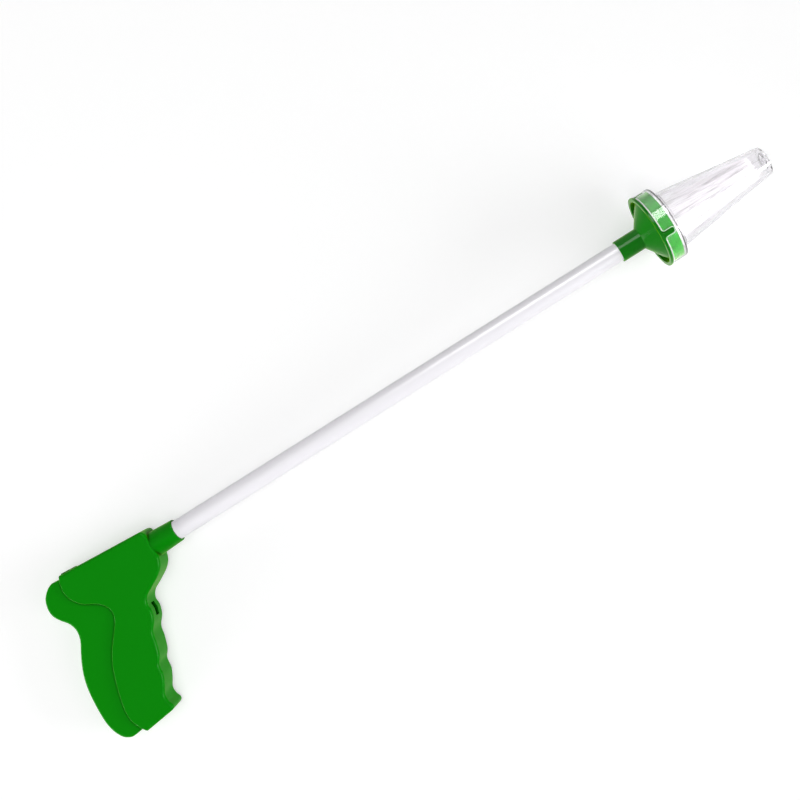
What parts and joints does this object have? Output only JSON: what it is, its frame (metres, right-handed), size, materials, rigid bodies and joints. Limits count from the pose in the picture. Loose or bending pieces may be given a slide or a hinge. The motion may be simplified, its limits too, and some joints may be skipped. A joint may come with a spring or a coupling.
{
  "type": "spider catcher",
  "caption": "Long-reach spider catcher: squeeze grip, push rod in a long tube, hinged bristle tufts that open and close round an insect, and a clear lift-off cap.",
  "frame": {"origin": "middle of the bounding box in X and Y, on the lowest point of the head, with the catcher lying on its side", "axes": "+X along the tube from the grip to the head, +Y from the grip's fingertips end up across the tube, +Z out of the grip's upper flat side"},
  "size_m": [0.668, 0.1504, 0.0616],
  "materials": {
    "grip_green": "satin",
    "head_green": "gloss",
    "tube_white": "satin",
    "inner_plastic": "matte",
    "steel": "satin",
    "bristle": "satin",
    "clear_plastic": "gloss"
  },
  "bodies": {
    "frame": {"front_grip_shell": "grip_green", "rear_rod_guide": "inner_plastic", "outer_tube": "tube_white", "front_rod_guide": "inner_plastic", "head_cup": "head_green", "hinge_ring": "head_green", "pivot_pin_1": "steel", "pivot_pin_2": "steel", "pivot_pin_3": "steel", "pivot_pin_4": "steel"},
    "trigger": {"palm_slider": "grip_green", "push_rod": "steel", "rod_anchor_pin": "steel", "pusher_hub": "inner_plastic", "pusher_screw": "steel", "return_spring": "steel"},
    "petal_1": {"tuft_holder_1": "head_green", "bristle_tuft_1": "bristle"},
    "petal_2": {"tuft_holder_2": "head_green", "bristle_tuft_2": "bristle"},
    "petal_3": {"tuft_holder_3": "head_green", "bristle_tuft_3": "bristle"},
    "petal_4": {"tuft_holder_4": "head_green", "bristle_tuft_4": "bristle"},
    "cap": {"clear_cap": "clear_plastic"}
  },
  "joints": [
    {"name": "trigger_squeeze", "type": "slide", "parent": "frame", "child": "trigger", "axis": [1, 0, 0], "range_m": [0, 0.011], "stiffness_N_per_m": 500, "springref_m": -0.008, "deforming": ["return_spring"]},
    {"name": "tuft_hinge_1", "type": "hinge", "parent": "frame", "child": "petal_1", "pos_m": [0.23574, 0.04445, 0.054], "axis": [0, -1, 0], "range_deg": [0, 35.4], "deforming": ["bristle_tuft_1"]},
    {"name": "tuft_hinge_2", "type": "hinge", "parent": "frame", "child": "petal_2", "pos_m": [0.23574, 0.02125, 0.0308], "axis": [0, 0, -1], "range_deg": [0, 35.4], "deforming": ["bristle_tuft_2"]},
    {"name": "tuft_hinge_3", "type": "hinge", "parent": "frame", "child": "petal_3", "pos_m": [0.23574, 0.04445, 0.0076], "axis": [0, 1, 0], "range_deg": [0, 35.4], "deforming": ["bristle_tuft_3"]},
    {"name": "tuft_hinge_4", "type": "hinge", "parent": "frame", "child": "petal_4", "pos_m": [0.23574, 0.06765, 0.0308], "axis": [0, 0, 1], "range_deg": [0, 35.4], "deforming": ["bristle_tuft_4"]},
    {"name": "cap_pull", "type": "slide", "parent": "frame", "child": "cap", "axis": [1, 0, 0], "range_m": [0, 0.115]}
  ],
  "couplings": [
    {"joint": "tuft_hinge_1", "follows": "trigger_squeeze", "rad_per_m": 56.1},
    {"joint": "tuft_hinge_2", "follows": "trigger_squeeze", "rad_per_m": 56.1},
    {"joint": "tuft_hinge_3", "follows": "trigger_squeeze", "rad_per_m": 56.1},
    {"joint": "tuft_hinge_4", "follows": "trigger_squeeze", "rad_per_m": 56.1}
  ]
}
